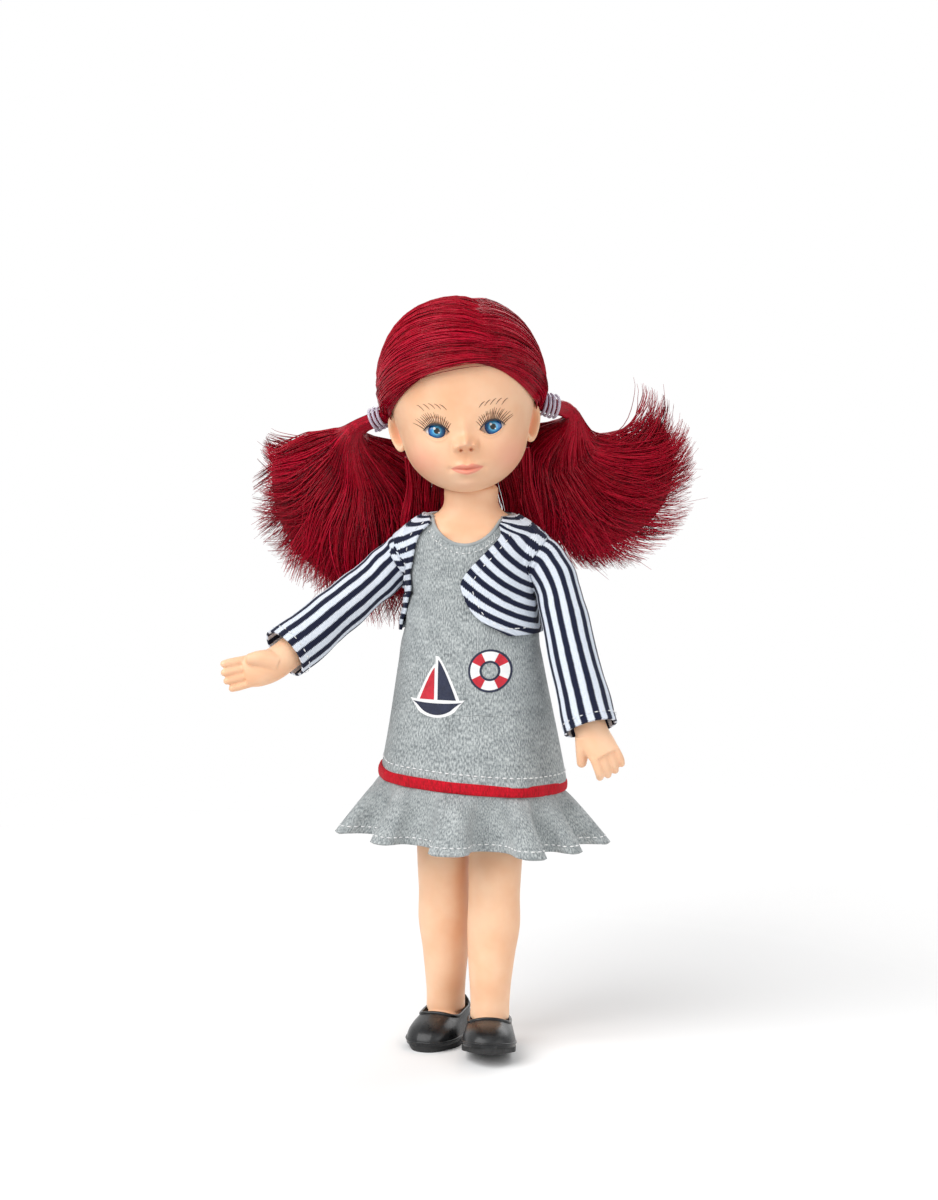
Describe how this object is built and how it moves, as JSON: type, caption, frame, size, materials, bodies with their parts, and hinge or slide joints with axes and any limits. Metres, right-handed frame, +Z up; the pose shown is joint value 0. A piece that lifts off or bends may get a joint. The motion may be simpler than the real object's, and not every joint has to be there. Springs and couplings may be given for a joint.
{
  "type": "vinyl doll",
  "caption": "Standing vinyl play doll with rooted pigtails, grey ruffled jersey dress, striped bolero and black flats; head, arms and legs turn at snap joints.",
  "frame": {"origin": "on the floor, below the middle of the doll's bounding box", "axes": "+Z up from the soles to the crown, -Y the way the chest faces, +X to the doll's own left"},
  "size_m": [0.1236, 0.0773, 0.2102],
  "materials": {
    "skin_vinyl": "satin soft vinyl",
    "eye_gloss": "glossy inset eye, blue iris on white",
    "hair_fibre": "shiny synthetic fibre, crimson",
    "clear_elastic": "clear lilac elastic thread",
    "white_plastic": "moulded plastic",
    "white_cotton": "fine cotton knit",
    "grey_jersey": "heather grey jersey",
    "red_jersey": "red jersey",
    "striped_jersey": "navy and white striped jersey",
    "closure_tape": "hook-and-loop tape",
    "shoe_black": "matte moulded plastic",
    "sole_black": "matte moulded plastic"
  },
  "bodies": {
    "body": {"torso": "skin_vinyl", "neck_plug": "white_plastic", "briefs": "white_cotton", "dress_front": "grey_jersey", "dress_back": "grey_jersey", "closure_hook_strip": "closure_tape", "closure_loop_strip": "closure_tape", "hem_piping": "red_jersey", "dress_ruffle": "grey_jersey", "bolero": "striped_jersey"},
    "head": {"head": "skin_vinyl", "left_eye": "eye_gloss", "right_eye": "eye_gloss", "hair_cap": "hair_fibre", "left_pigtail": "hair_fibre", "right_pigtail": "hair_fibre", "left_hair_tie": "clear_elastic", "right_hair_tie": "clear_elastic"},
    "left_arm": {"left_arm": "skin_vinyl", "left_sleeve": "striped_jersey"},
    "right_arm": {"right_arm": "skin_vinyl", "right_sleeve": "striped_jersey"},
    "left_leg": {"left_leg": "skin_vinyl", "left_shoe_upper": "shoe_black", "left_shoe_sole": "sole_black"},
    "right_leg": {"right_leg": "skin_vinyl", "right_shoe_upper": "shoe_black", "right_shoe_sole": "sole_black"}
  },
  "joints": [
    {"name": "neck_turn", "type": "hinge", "parent": "body", "child": "head", "pos_m": [0.0026, 0.001, 0.15], "axis": [-0.0785, 0, 0.9969], "range_deg": [-60, 60], "deforming": ["left_pigtail", "right_pigtail"]},
    {"name": "left_shoulder", "type": "hinge", "parent": "body", "child": "left_arm", "pos_m": [0.0198, 0.001, 0.138], "axis": [-0.8387, 0, 0.5446], "range_deg": [-70, 100], "deforming": ["left_sleeve", "left_pigtail"]},
    {"name": "right_shoulder", "type": "hinge", "parent": "body", "child": "right_arm", "pos_m": [-0.0146, 0.001, 0.138], "axis": [-0.8387, 0, -0.5446], "range_deg": [-118, 52], "deforming": ["right_sleeve", "right_pigtail"]},
    {"name": "left_hip", "type": "hinge", "parent": "body", "child": "left_leg", "pos_m": [0.0118, 0.001, 0.086], "axis": [-0.866, 0, 0.5], "range_deg": [-36, 69], "deforming": ["dress_front", "hem_piping", "dress_ruffle"]},
    {"name": "right_hip", "type": "hinge", "parent": "body", "child": "right_leg", "pos_m": [-0.0066, 0.001, 0.086], "axis": [-0.866, 0, -0.5], "range_deg": [-25, 80], "deforming": ["dress_front", "hem_piping", "dress_ruffle"]}
  ]
}
